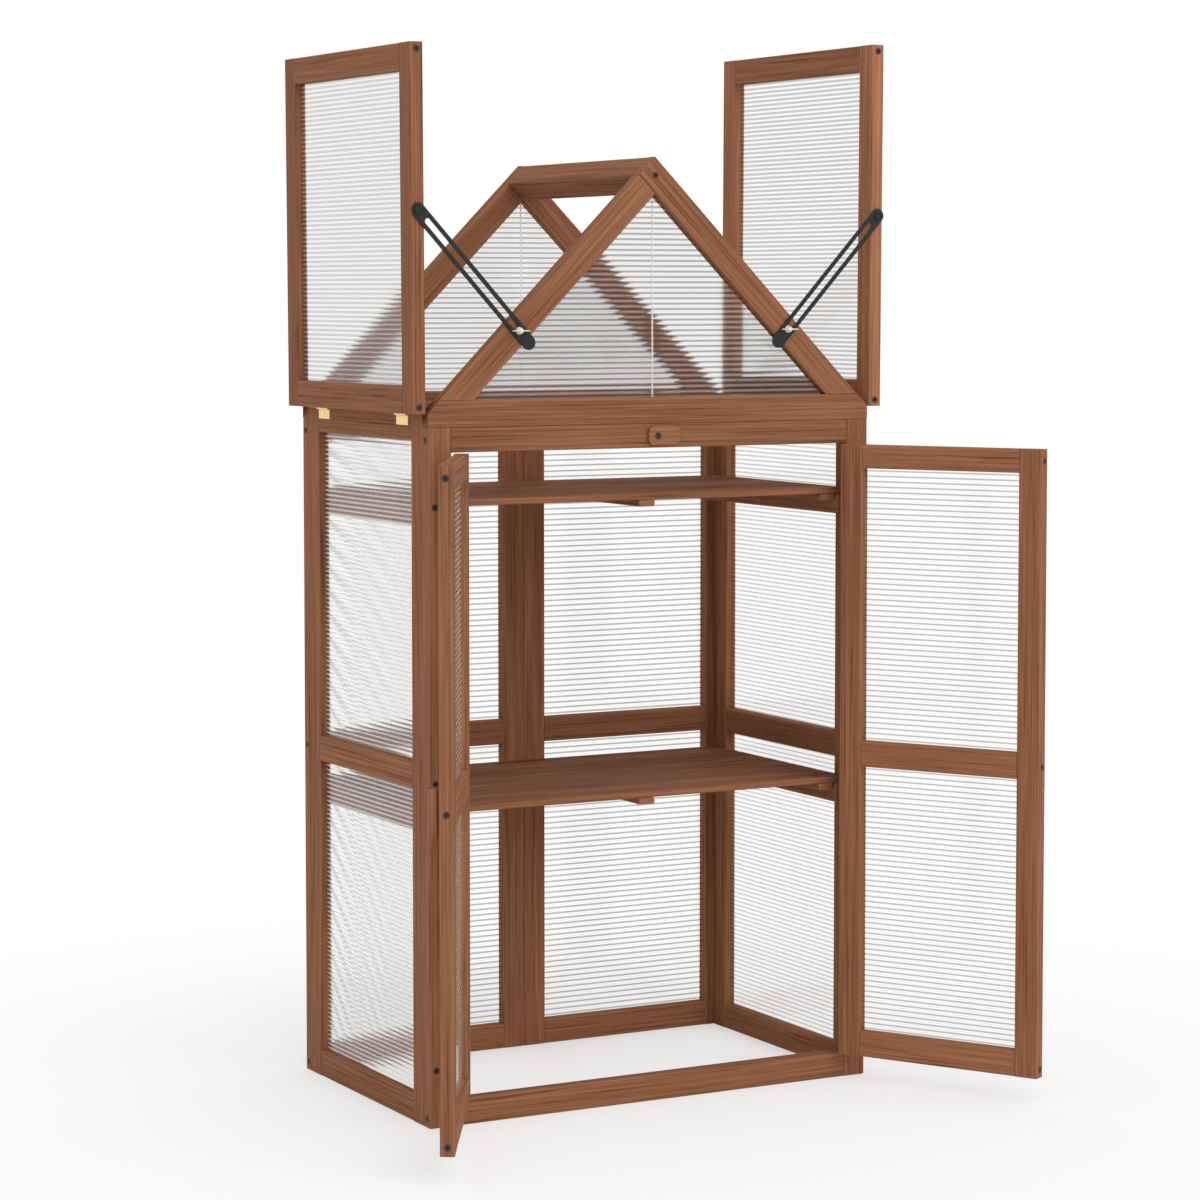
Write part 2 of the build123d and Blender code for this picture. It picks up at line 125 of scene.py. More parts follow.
def cappedFaces(rings, count):
    # the grid closed by a face over its first ring and one over its last
    ends = [list(range(count)), list(range((rings - 1) * count, rings * count))]
    return ringFaces(rings, count) + ends


sharpFrom = 40  # degrees between two faces


def makePiece(name, shapes, material, body, slot, *nodes):
    # joins shapes into one mesh with their marks as point attributes
    mesh = bpy.data.meshes.new(name)
    starts = np.cumsum([0] + [len(shape["points"]) for shape in shapes])
    faces = [
        [start + corner for corner in face]
        for start, shape in zip(starts, shapes)
        for face in shape["faces"]
    ]
    mesh.from_pydata(np.vstack([shape["points"] for shape in shapes]).tolist(), [], faces)
    for mark in shapes[0]["marks"]:
        values = np.concatenate([shape["marks"][mark] for shape in shapes])
        kind, field = ("FLOAT_VECTOR", "vector") if values.ndim > 1 else ("FLOAT", "value")
        layer = mesh.attributes.new(mark, kind, "POINT")
        layer.data.foreach_set(field, values.astype(np.float32).ravel())
    shell = bmesh.new()
    shell.from_mesh(mesh)
    bmesh.ops.recalc_face_normals(shell, faces=shell.faces)
    shell.to_mesh(mesh)
    shell.free()
    mesh.polygons.foreach_set("use_smooth", np.ones(len(mesh.polygons), bool))
    mesh.set_sharp_from_angle(angle=np.radians(sharpFrom))
    mesh.materials.append(material)
    piece = bpy.data.objects.new(name, mesh)
    bpy.context.scene.collection.objects.link(piece)
    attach(piece, body)
    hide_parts(*nodes)
    return piece


# material helpers: a value that is a socket is linked, any other is set
def addNode(tree, kind, inputs=None, **settings):
    node = tree.nodes.new(kind)
    for key, value in settings.items():
        setattr(node, key, value)
    for key, value in (inputs or {}).items():
        if isinstance(value, bpy.types.NodeSocket):
            tree.links.new(value, node.inputs[key])
        else:
            node.inputs[key].default_value = value
    return node


def newMaterial(name):
    material = bpy.data.materials.new(name)
    material.use_nodes = True
    tree = material.node_tree
    return material, tree, tree.nodes["Principled BSDF"]


def attribute(tree, name, output):
    return addNode(tree, "ShaderNodeAttribute", attribute_name=name).outputs[output]


def stretched(tree, vector, scale):
    return addNode(tree, "ShaderNodeMapping", {"Vector": vector, "Scale": scale}).outputs[0]


def noise(tree, vector, scale, detail=3.0, roughness=0.5):
    inputs = {"Vector": vector, "Scale": scale, "Detail": detail, "Roughness": roughness}
    return addNode(tree, "ShaderNodeTexNoise", inputs).outputs["Fac"]


def maths(tree, operation, first, second=0.0, third=0.0):
    inputs = {0: first, 1: second, 2: third}
    return addNode(tree, "ShaderNodeMath", inputs, operation=operation).outputs[0]


def spread(tree, value, low, high, toLow=0.0, toHigh=1.0):
    inputs = {"Value": value, "From Min": low, "From Max": high, "To Min": toLow, "To Max": toHigh}
    return addNode(tree, "ShaderNodeMapRange", inputs, interpolation_type="SMOOTHSTEP").outputs[0]


def blendColour(tree, factor, first, second):
    inputs = {0: factor, 6: first, 7: second}
    return addNode(tree, "ShaderNodeMix", inputs, data_type="RGBA").outputs[2]


def bump(tree, height, strength, distance):
    inputs = {"Height": height, "Strength": strength, "Distance": distance}
    return addNode(tree, "ShaderNodeBump", inputs).outputs[0]


def setSockets(tree, shader, **sockets):
    for name, value in sockets.items():
        socket = shader.inputs[name.replace("_", " ")]
        if isinstance(value, bpy.types.NodeSocket):
            tree.links.new(value, socket)
        else:
            socket.default_value = value


# brown stained wood: streaks of many widths along the grain, thin growth rings about an axis along
# each board, and fine pores. Scales are per metre, along the grain and across it
stainedWood = dict(
    light=(0.328, 0.1420, 0.0735, 1),
    middle=(0.258, 0.1085, 0.0538, 1),
    dark=(0.132, 0.0505, 0.0232, 1),
    pore=(0.090, 0.0320, 0.0140, 1),
    # lighter colour of the rounded edges: rubbed wear and a painted edge highlight
    edge=(0.335, 0.150, 0.0780, 1),
    streakScale=(4.5, 300, 300),
    ringsPerMetre=120,
    ringWander=0.016,
    ringUnevenness=2.6,
    wanderScale=(0.9, 16, 16),
    unevenScale=(0.15, 40, 40),
    strengthScale=(0.6, 60, 60),
    poreScale=(9, 900, 900),
    cloudScale=(2.4, 14, 14),
    streakDetail=(4.0, 0.62),
    darkSpan=(0.30, 0.46),  # a span is where a change starts and ends, and then from what to what
    lightSpan=(0.49, 0.63),
    lateSpan=(0.66, 0.92),
    lateEnd=(0.92, 1.0, 1.0, 0.0),
    strengthSpan=(0.35, 0.70, 0.0, 0.34),
    poreSpan=(0.56, 0.76, 0.0, 0.40),
    cloudSpan=(0.25, 0.75, 0.98, 1.06),
    edgeSpan=(0.35, 0.65, 0.05, 0.45),
    roughSpan=(0.0, 0.5, 0.62, 0.74),
    ringSunk=-0.4,
    poreSunk=-1.0,
    bump=(0.18, 0.0005),
    specular=0.04,
)


def makeWood():
    material, tree, shader = newMaterial("stainedWood")
    grain = attribute(tree, "grain", "Vector")
    tone = attribute(tree, "tone", "Fac")
    wear = attribute(tree, "wear", "Fac")

    def grainNoise(scale, detail, roughness=0.5):
        return noise(tree, stretched(tree, grain, stainedWood[scale]), 1.0, detail, roughness)

    streak = grainNoise("streakScale", *stainedWood["streakDetail"])
    deep = spread(tree, streak, *stainedWood["darkSpan"])
    pale = spread(tree, streak, *stainedWood["lightSpan"])
    low = blendColour(tree, deep, stainedWood["dark"], stainedWood["middle"])
    base = blendColour(tree, pale, low, stainedWood["light"])
    parts = addNode(tree, "ShaderNodeSeparateXYZ", {0: grain}).outputs
    square = maths(tree, "MULTIPLY", parts[2], parts[2])
    radius = maths(tree, "SQRT", maths(tree, "MULTIPLY_ADD", parts[1], parts[1], square))
    wander = grainNoise("wanderScale", 3.0)
    ringPlace = maths(tree, "MULTIPLY_ADD", wander, stainedWood["ringWander"], radius)
    uneven = maths(tree, "MULTIPLY", grainNoise("unevenScale", 2.0), stainedWood["ringUnevenness"])
    ringCount = maths(tree, "MULTIPLY_ADD", ringPlace, stainedWood["ringsPerMetre"], uneven)
    ring = maths(tree, "FRACT", ringCount)
    growing = spread(tree, ring, *stainedWood["lateSpan"])
    lateWood = maths(tree, "MULTIPLY", growing, spread(tree, ring, *stainedWood["lateEnd"]))
    strength = grainNoise("strengthScale", 1.0)
    ringShade = maths(tree, "MULTIPLY", lateWood, spread(tree, strength, *stainedWood["strengthSpan"]))
    pores = grainNoise("poreScale", 2.0)
    ringed = blendColour(tree, ringShade, base, stainedWood["pore"])
    poreShade = spread(tree, pores, *stainedWood["poreSpan"])
    porous = blendColour(tree, poreShade, ringed, stainedWood["pore"])
    cloud = spread(tree, grainNoise("cloudScale", 2.0), *stainedWood["cloudSpan"])
    level = maths(tree, "ADD", cloud, tone)
    tinted = addNode(tree, "ShaderNodeHueSaturation", {"Value": level, "Color": porous}).outputs[0]
    # rounded edges blend toward the edge colour: wear and a painted edge highlight
    edgeWearAndHighlightShare = maths(tree, "MULTIPLY", wear, spread(tree, streak, *stainedWood["edgeSpan"]))
    colour = blendColour(tree, edgeWearAndHighlightShare, tinted, stainedWood["edge"])
    rough = spread(tree, ringShade, *stainedWood["roughSpan"])
    sunk = maths(tree, "MULTIPLY", pores, stainedWood["poreSunk"])
    height = maths(tree, "MULTIPLY_ADD", ringShade, stainedWood["ringSunk"], sunk)
    relief = bump(tree, height, *stainedWood["bump"])
    setSockets(
        tree, shader, Base_Color=colour, Roughness=rough, Normal=relief,
        Specular_IOR_Level=stainedWood["specular"],
    )
    return material


# clear ribbed sheet: glass-like ribs that bend what is behind them, a grey line of painted shade
# where two ribs meet, a painted white highlight along each crest, and white cut edges. Each sheet
# carries how wide its grey lines are and how strong its painted line shade and its painted shade
# over the whole sheet are
clearSheet = dict(
    clear=(0.990, 0.987, 0.984, 1),
    # grey of the lines and of the tint over a whole sheet: painted shade
    line=(0.058, 0.042, 0.032, 1),
    # white of the cut edges and of the painted crest highlight
    white=(0.96, 0.955, 0.95, 1),
    lineWobble=0.12,  # of a line's width
    wobbleScale=(1.4, 0.9, 0.0),
    lineEdge=(0.65, 1.35, 1.0, 0.0),  # of a line's half width, where its edge fades
    crestSpan=(0.30, 0.40),  # of the pitch, from where two ribs meet
    edgeSolid=0.9,  # how far a cut edge hides what is behind it
    rough=0.08,
    ior=1.38,
    passes=(0.955, 0.953, 0.950, 1),
)


def makeClearSheet():
    material, tree, shader = newMaterial("clearSheet")
    rib = attribute(tree, "rib", "Vector")
    cutEdge = attribute(tree, "cutEdge", "Fac")
    phase = addNode(tree, "ShaderNodeSeparateXYZ", {0: rib}).outputs[1]
    valley = maths(tree, "PINGPONG", phase, 0.5)  # 0 where ribs meet, half a pitch at a crest
    wobble = noise(tree, stretched(tree, rib, clearSheet["wobbleScale"]), 1.0, 2.0)
    swing = clearSheet["lineWobble"]
    wander = maths(tree, "MULTIPLY_ADD", wobble, swing, 1 - swing / 2)
    lineHalf = maths(tree, "MULTIPLY", attribute(tree, "lineHalf", "Fac"), wander)
    within = spread(tree, maths(tree, "DIVIDE", valley, lineHalf), *clearSheet["lineEdge"])
    # painted shade over the whole sheet, added to the painted shade of the grey lines
    haze = attribute(tree, "haze", "Fac")
    line = maths(tree, "MULTIPLY_ADD", within, attribute(tree, "lineDepth", "Fac"), haze)
    onCrest = spread(tree, valley, *clearSheet["crestSpan"])
    # white along each crest is a painted highlight
    crest = maths(tree, "MULTIPLY", onCrest, attribute(tree, "crest", "Fac"))
    edgeAndHighlightWhite = maths(tree, "MULTIPLY_ADD", cutEdge, clearSheet["edgeSolid"], crest)
    lined = blendColour(tree, line, clearSheet["clear"], clearSheet["line"])
    colour = blendColour(tree, edgeAndHighlightWhite, lined, clearSheet["white"])
    setSockets(
        tree, shader, Base_Color=colour, Roughness=clearSheet["rough"], IOR=clearSheet["ior"],
        Transmission_Weight=maths(tree, "SUBTRACT", 1.0, edgeAndHighlightWhite),
    )
    path = addNode(tree, "ShaderNodeLightPath").outputs
    passing = addNode(tree, "ShaderNodeBsdfTransparent", {"Color": clearSheet["passes"]}).outputs[0]
    lets = maths(tree, "MAXIMUM", path["Is Shadow Ray"], path["Is Diffuse Ray"])
    mixed = addNode(tree, "ShaderNodeMixShader", {0: lets, 1: shader.outputs[0], 2: passing})
    tree.links.new(mixed.outputs[0], tree.nodes["Material Output"].inputs["Surface"])
    return material


# metal finishes: a speckle in colour and roughness, a fine orange peel, and painted shade in recesses
finishes = dict(
    hingeBrass=dict(
        colour=(0.97, 0.78, 0.37, 1), darker=(0.84, 0.62, 0.25, 1),
        rough=0.36, metallic=1.0, specular=0.5, speckle=900,
    ),
    stayCoat=dict(
        colour=(0.023, 0.024, 0.025, 1), darker=(0.015, 0.016, 0.017, 1),
        rough=0.52, metallic=0.0, specular=0.22, speckle=1400,
    ),
    screwSteel=dict(
        colour=(0.056, 0.053, 0.050, 1), darker=(0.030, 0.028, 0.026, 1),
        rough=0.50, metallic=0.0, specular=0.20, speckle=1600,
    ),
    nutPlate=dict(
        colour=(0.84, 0.80, 0.72, 1), darker=(0.70, 0.66, 0.58, 1),
        rough=0.32, metallic=0.15, specular=0.5, speckle=1100,
    ),
)
metalSpeckle = dict(
    shares=(0.6, 0.4),
    span=(0.3, 0.7),
    broader=9,
    roughSpan=(0.25, 0.75),
    roughSteps=(-0.08, 0.10),
    bump=(0.2, 0.0002),
)
# near-black painted shade for the bottom of a recess
recessShadeColour = (0.008, 0.008, 0.009, 1)


def makeMetal(name):
    finish = finishes[name]
    material, tree, shader = newMaterial(name)
    place = addNode(tree, "ShaderNodeTexCoord").outputs["Object"]
    fine = noise(tree, place, finish["speckle"], 3.0)
    broad = noise(tree, place, finish["speckle"] / metalSpeckle["broader"], 2.0)
    broadShare, fineShare = metalSpeckle["shares"]
    share = maths(tree, "MULTIPLY_ADD", broad, broadShare, maths(tree, "MULTIPLY", fine, fineShare))
    mottle = spread(tree, share, *metalSpeckle["span"])
    shade = blendColour(tree, mottle, finish["darker"], finish["colour"])
    # paints shade into the marked recess
    recessShaded = blendColour(tree, attribute(tree, "recess", "Fac"), shade, recessShadeColour)
    smooth, coarse = (finish["rough"] + step for step in metalSpeckle["roughSteps"])
    roughness = spread(tree, fine, *metalSpeckle["roughSpan"], smooth, coarse)
    setSockets(
        tree, shader, Base_Color=recessShaded, Roughness=roughness, Metallic=finish["metallic"],
        Specular_IOR_Level=finish["specular"], Normal=bump(tree, fine, *metalSpeckle["bump"]),
    )
    return material


wood = makeWood()
sheetMaterial = makeClearSheet()
hingeBrass, stayCoat, screwSteel, nutPlate = (makeMetal(name) for name in finishes)
print("materials made")


# boards: round edges, a band beside them lighter with wear and a painted edge highlight, and a
# heart of the tree somewhere off each board
boardForm = dict(
    edgeRound=0.0022,
    roundMost=1 / 5,  # of a thin board's thickness
    roundSteps=3,
    endEase=0.0006,
    wornBand=0.0045,
    bandMost=1 / 3,
    toneSpread=0.022,
    pithReach=(20, 0.10, 0.05),
    pithAside=0.09,
)


def boardOutline(width, thick, breaks):
    # a rectangle with quarter-circle corners, with a point on each flat where the lighter edge of wear
    # and painted highlight ends
    radius = min(boardForm["edgeRound"], thick * boardForm["roundMost"])
    band = min(boardForm["wornBand"], thick * boardForm["bandMost"])
    halfA, halfT = width / 2, thick / 2
    quarter = np.linspace(0, np.pi / 2, boardForm["roundSteps"] + 1)
    flat = np.sort(np.r_[band - halfA, breaks, halfA - band])
    edge = np.array([band - halfT, halfT - band])
    flats = (
        (flat[::-1], np.full(len(flat), halfT)),
        (np.full(2, -halfA), edge[::-1]),
        (flat, np.full(len(flat), -halfT)),
        (np.full(2, halfA), edge),
    )
    across, through, wear = [], [], []
    for turn, (signA, signT) in enumerate(((1, 1), (-1, 1), (-1, -1), (1, -1))):
        angle = quarter + turn * np.pi / 2
        across += [signA * (halfA - radius) + radius * np.cos(angle), flats[turn][0]]
        through += [signT * (halfT - radius) + radius * np.sin(angle), flats[turn][1]]
        wear += [np.ones(len(angle)), np.zeros(len(flats[turn][0]))]
    return np.concatenate(across), np.concatenate(through), np.concatenate(wear)


def shapeBoard(centre, axes, width, thick, starts, ends, knots=(0.0,), place=keepPlace):
    outline = boardOutline(width, thick, np.array(knots)[1:-1])
    return carryOutline(centre, axes, outline, starts, ends, knots, place)


def carryOutline(centre, axes, outline, starts, ends, knots=(0.0,), place=keepPlace):
    # the outline carried straight along the board. starts and ends give where the board's ends
    # are for each place across it in knots, so that an end may be cut at an angle
    knots = np.array(knots, float)
    across, through, wear = outline
    ease, band = boardForm["endEase"], boardForm["wornBand"]
    small = (across * (1 - 2 * ease / np.ptp(across)), through * (1 - 2 * ease / np.ptp(through)))
    startAt = lambda a: np.interp(a, knots, np.broadcast_to(starts, knots.shape))
    endAt = lambda a: np.interp(a, knots, np.broadcast_to(ends, knots.shape))
    rings = [
        (startAt(small[0]), *small, np.ones_like(wear)),
        (startAt(across) + ease, across, through, np.ones_like(wear)),
        (startAt(across) + band, across, through, wear),
        (endAt(across) - band, across, through, wear),
        (endAt(across) - ease, across, through, np.ones_like(wear)),
        (endAt(small[0]), *small, np.ones_like(wear)),
    ]
    local = np.stack([np.stack(ring[:3], axis=-1) for ring in rings]).reshape(-1, 3)
    count = len(across)
    reach, aside = boardForm["pithReach"], boardForm["pithAside"]
    pith = rng.uniform(-1, 1, 3) * reach + (0, 0, aside * rng.choice((-1, 1)))
    tone = rng.normal(0, boardForm["toneSpread"])
    worn = np.concatenate([ring[3] for ring in rings])
    return dict(
        points=place(np.array(centre) + local @ np.array(axes, float)),
        faces=cappedFaces(len(rings), count),
        marks=dict(grain=local + pith, tone=np.full(len(local), tone), wear=worn),
    )


def boxBoard(low, high, along, place=keepPlace):
    # a board that fills a box, with its grain along one axis and its wider face across
    low, high = np.minimum(low, high), np.maximum(low, high)
    size = high - low
    others = sorted((axis for axis in range(3) if axis != along), key=lambda axis: -size[axis])
    axes = np.eye(3)[[along, *others]]
    width, thick = size[others]
    half = size[along] / 2
    return shapeBoard((low + high) / 2, axes, width, thick, -half, half, place=place)


# sheets: low rounded ribs. A line's half width is a share of the pitch, and the painted crest
# highlights fade out towards the sheet's ends, over the stiles' edges
sheetForm = dict(
    depth=0.00013,
    thick=0.004,
    steps=8,
    bite=0.0045,
    insets=(0, 0.0011, 0.009, 0.020),  # columns of points in from each end
    insetShares=(0, 0.08, 0.16, 0.30),  # and the most that they take of a short sheet
)
# per sheet, the line depth and the grey over the whole sheet are painted shade and the crest white a
# painted highlight; sheets seen from their inner face get deeper shade and no highlight
ribForms = dict(
    leftSide=dict(pitch=0.0070, lineHalf=0.15, lineDepth=0.34, crest=0.58, haze=0.0),
    rightSide=dict(pitch=0.0070, lineHalf=0.17, lineDepth=0.70, crest=0.0, haze=0.0),
    leftRoof=dict(pitch=0.0070, lineHalf=0.33, lineDepth=0.60, crest=0.26, haze=0.0),
    rightRoof=dict(pitch=0.0070, lineHalf=0.29, lineDepth=0.74, crest=0.0, haze=0.0),
    leftDoor=dict(pitch=0.0083, lineHalf=0.145, lineDepth=0.60, crest=0.60, haze=0.0),
    rightDoor=dict(pitch=0.0083, lineHalf=0.145, lineDepth=0.76, crest=0.0, haze=0.0),
    back=dict(pitch=0.0089, lineHalf=0.15, lineDepth=0.82, crest=0.0, haze=0.0),
    gable=dict(pitch=0.0080, lineHalf=0.20, lineDepth=0.60, crest=0.20, haze=0.25),
)


def shapeSheet(corner, axes, height, form, startAt, endAt, place=keepPlace):
    # a thin rectangle carried up the sheet. Its outer face swells by the sine of the height within
    # each rib, and its ends follow the sheet's outline
    ribs = round(height / form["pitch"])
    phase = np.arange(ribs * sheetForm["steps"] + 1) / sheetForm["steps"]
    up = phase / ribs * height
    outer = sheetForm["thick"] / 2 - sheetForm["depth"] * (1 - np.abs(np.sin(np.pi * phase)))
    inner = np.full_like(up, -sheetForm["thick"] / 2)
    start, end = startAt(up), endAt(up)
    insets = [
        np.minimum(inset, share * (end - start))
        for inset, share in zip(sheetForm["insets"], sheetForm["insetShares"])
    ]
    columns = [start + inset for inset in insets] + [end - inset for inset in insets[::-1]]
    across = 2 * len(columns)
    along = np.stack(columns + columns[::-1], axis=-1)
    out = np.stack([outer] * len(columns) + [inner] * len(columns), axis=-1)
    rise = np.broadcast_to(up[:, None], along.shape)
    local = np.stack([along, rise, out], axis=-1).reshape(-1, 3)
    rib = local.copy()
    rib[:, 1] = np.repeat(phase, across)
    # the painted crest highlight is left off the columns near the sheet's ends
    atEnd = [1.0, 0, 0, 0, 0, 0, 0, 1]
    inside = [0.0, 0, 0, 1, 1, 0, 0, 0]
    onOuter = np.tile(np.repeat([1.0, 0.0], len(columns)), len(up))
    marks = dict(rib=rib, cutEdge=np.tile(atEnd * 2, len(up)))
    marks["lineHalf"] = np.full(len(local), form["lineHalf"])
    marks["crest"] = form["crest"] * onOuter * np.tile(inside * 2, len(up))
    marks["lineDepth"], marks["haze"] = form["lineDepth"] * onOuter, form["haze"] * onOuter
    points = place(np.array(corner) + local @ np.array(axes, float))
    return dict(points=points, faces=cappedFaces(len(up), across), marks=marks)


def boxSheet(low, high, outward, form, place=keepPlace):
    # a sheet in an opening of a frame, let into the wood all round, ribs on its outward face
    thin = int(np.argmax(np.abs(outward)))
    wide = 1 - thin
    low, high = np.minimum(low, high), np.maximum(low, high)
    bite = sheetForm["bite"]
    corner = low.copy()
    corner[wide] -= bite
    corner[2] -= bite
    corner[thin] = (low[thin] + high[thin]) / 2
    length = high[wide] - low[wide] + 2 * bite
    axes = (np.eye(3)[wide], (0, 0, 1), outward)
    ends = (lambda up: np.zeros_like(up)), (lambda up: np.full_like(up, length))
    return shapeSheet(corner, axes, high[2] - low[2] + 2 * bite, form, *ends, place=place)


def framedPanel(low, high, spans, outward, form, place=keepPlace):
    # stiles at the ends of the panel, a rail over each span of heights, a sheet between rails
    low, high = np.minimum(low, high), np.maximum(low, high)
    wide = 1 - int(np.argmax(np.abs(outward)))
    along = np.eye(3)[wide] * stileWidth

    def corner(base, shift, height):
        point = base + shift
        point[2] = height
        return point

    stiles = [
        boxBoard(low, corner(high - (high - low) * np.eye(3)[wide], along, high[2]), 2, place),
        boxBoard(corner(low + (high - low) * np.eye(3)[wide], -along, low[2]), high, 2, place),
    ]
    rails = [
        boxBoard(corner(low, along, foot), corner(high, -along, top), wide, place)
        for foot, top in spans
    ]
    panes = [
        boxSheet(corner(low, along, lower[1]), corner(high, -along, upper[0]), outward, form, place)
        for lower, upper in zip(spans, spans[1:])
    ]
    return stiles, rails, panes


def railSpans(foot, middle, top, topLow):
    half = railHeight / 2
    return [(foot, foot + railHeight), (middle - half, middle + half), (topLow, top)]


# painted light and shade: boards made lighter or darker than the rest where they catch more or
# less light
boardLightAndShade = dict(
    leftFrontPost=0.08,
    frontTopRail=-0.10,
    frontGableRail=-0.06,
    leftDoorRails=0.16,
    rightDoorRails=0.16,
    leftRoofStiles=-0.06,
    rightRoofStiles=0.26,
)


def addBoards(name, shapes, body, node):
    for shape in shapes:
        # adds each board's painted light or shade to its tone
        shape["marks"]["tone"] += boardLightAndShade.get(name, 0.0)
    return makePiece(name, shapes, wood, body, "frame_wood", node)


def addSheets(name, shapes, body, node):
    return makePiece(name, shapes, sheetMaterial, body, "clear_sheet", node)


# front frame
innerX = halfWidth - stileWidth
for side, name in sides:
    post = boxBoard((side * halfWidth, frontY, 0), (side * innerX, insideFront, postTop), 2)
    addBoards(name + "FrontPost", [post], "frame", f"front_{name}_post")
bottomRail = boxBoard((-innerX, frontY, 0), (innerX, insideFront, railHeight), 0)
addBoards("frontBottomRail", [bottomRail], "frame", "front_bottom_rail")
topRail = boxBoard((-innerX, frontY, topRailLow), (innerX, insideFront, postTop), 0)
addBoards("frontTopRail", [topRail], "frame", "front_top_rail")

# side frames and back frames
sideSpans = railSpans(0, cabinet["middleRail"], sideTop, sideTop - railHeight)
for side, name in sides:
    low = (side * (halfWidth - boardThick), insideFront, 0)
    high = (side * halfWidth, insideBack, sideTop)
    stiles, rails, panes = framedPanel(low, high, sideSpans, (side, 0, 0), ribForms[name + "Side"])
    addBoards(name + "SideStiles", stiles, "frame", f"{name}_side_stiles")
    addBoards(name + "SideRails", rails, "frame", f"{name}_side_rails")
    addSheets(name + "SidePanes", panes, "frame", f"{name}_side_panes")
backSpans = railSpans(0, cabinet["middleRail"], postTop, topRailLow)
backForm = (backSpans, (0, 1, 0), ribForms["back"])
backParts = [
    framedPanel((start, insideBack, 0), (start + halfWidth, backY, postTop), *backForm)
    for start in (-halfWidth, 0)
]
addBoards("backStiles", backParts[0][0] + backParts[1][0], "frame", "back_stiles")
addBoards("backRails", backParts[0][1] + backParts[1][1], "frame", "back_rails")
addSheets("backPanes", backParts[0][2] + backParts[1][2], "frame", "back_panes")
print("cabinet frames built")

# gables and ridge
gable = dict(jointGap=0.0005, peakGap=0.0015)


def gableParts(place):
    # the rail's ends are upright to the eave and then follow the slope. A rafter's foot is cut
    # level, so its end moves back by as much as the place across it moves up
    shoulder = halfWidth - (gableTop - eave)
    railMiddle = (postTop + gableTop) / 2
    knots = np.array([postTop, eave, gableTop]) - railMiddle
    ends = np.array([halfWidth, halfWidth, shoulder])
    axes = ((1, 0, 0), (0, 0, 1), (0, 1, 0))
    centre = (0, (frontY + insideFront) / 2, railMiddle)
    rail = shapeBoard(centre, axes, gableTop - postTop, boardThick, -ends, ends, knots, place)
    depth = cabinet["rafterDepth"]
    outerLine = ridgeTop / root2  # distance of a slope's outer edge from the origin
    rafters = []
    for side, topLine in ((-1, outerLine - depth), (1, outerLine)):
        axes = np.array(((-side, 0, 1), (side, 0, 1), (0, root2, 0))) / root2
        middle = outerLine - depth / 2
        reach = np.array([-depth / 2, depth / 2])
        foot = gableTop * root2 - (middle + reach)
        centre = np.array((0, (frontY + insideFront) / 2, 0)) + middle * axes[1]
        rafters.append(shapeBoard(centre, axes, depth, boardThick, foot, topLine, reach, place))
    bite = sheetForm["bite"]
    base = gableTop - bite
    peak = ridgeTop - (depth - bite) * root2
    height = peak - base - gable["peakGap"]
    panes = []
    for side in (-1, 1):
        near = gable["jointGap"] / 2
        corner = (0, (frontY + insideFront) / 2, base)
        axes = ((side, 0, 0), (0, 0, 1), (0, -1, 0))
        nearAt = lambda up: np.full_like(up, near)
        farAt = lambda up: peak - base - up
        panes.append(shapeSheet(corner, axes, height, ribForms["gable"], nearAt, farAt, place))
    return rail, rafters, panes


for name, place in (("front", keepPlace), ("back", turnToBack)):
    rail, rafters, panes = gableParts(place)
    addBoards(name + "GableRail", [rail], "frame", f"{name}_gable_rail")
    addBoards(name + "GableRafters", rafters, "frame", f"{name}_gable_rafters")
    addSheets(name + "GablePanes", panes, "frame", f"{name}_gable_panes")
ridgeSide = cabinet["rafterDepth"]
ridgeMiddle = (0, middleY, ridgeTop - ridgeSide / root2)
ridgeHalf = (insideBack - insideFront) / 2
ridgeAxes = np.array(((0, root2, 0), (1, 0, 1), (-1, 0, 1))) / root2
ridge = shapeBoard(ridgeMiddle, ridgeAxes, ridgeSide, ridgeSide, -ridgeHalf, ridgeHalf)
addBoards("ridgeBeam", [ridge], "frame", "ridge_beam")
print("gables built")

# shelves
shelf = dict(
    slats=5,
    slatWidth=0.078,
    slatThick=0.010,
    battenWidth=0.027,
    battenThick=0.010,
    bearerThick=0.020,
    bearerHeight=0.031,
    # painted shade on the slats, deeper on some slats than on others
    tones=(-0.05, -0.26, -0.11, -0.28, -0.15),  # from the front slat to the back one
    grainAcross=0.24,  # slats have a broader figure than the frames
    worn=0.2,
)
battens, bearers = [], []
for name in ("upper", "middle"):
    low, high = nodeBox(f"{name}_shelf_slats")
    places = np.linspace(low[1], high[1] - shelf["slatWidth"], shelf["slats"])
    underside = high[2] - shelf["slatThick"]
    slats = [
        boxBoard((low[0], near, underside), (high[0], near + shelf["slatWidth"], high[2]), 0)
        for near in places
    ]
    # darkens each slat by its painted shade
    for slat, tone in zip(slats, shelf["tones"]):
        slat["marks"]["tone"] += tone
        # slats get less of the edge wear and painted edge highlight
        slat["marks"]["wear"] *= shelf["worn"]
        slat["marks"]["grain"][:, 1] *= shelf["grainAcross"]
    addBoards(name + "ShelfSlats", slats, "frame", f"{name}_shelf_slats")
    battenEnd = nodeBox("shelf_battens")[1][0]
    for left in (-battenEnd, -shelf["battenWidth"] / 2, battenEnd - shelf["battenWidth"]):
        corner = (left, low[1], underside - shelf["battenThick"])
        battens.append(boxBoard(corner, (left + shelf["battenWidth"], high[1], underside), 1))
    bearerLow, bearerHigh = nodeBox("shelf_bearers")
    for side in (-1, 1):
        corner = (side * bearerHigh[0], bearerLow[1], underside - shelf["bearerHeight"])
        inner = side * (bearerHigh[0] - shelf["bearerThick"])
        bearers.append(boxBoard(corner, (inner, bearerHigh[1], underside), 1))
addBoards("shelfBattens", battens, "frame", "shelf_battens")
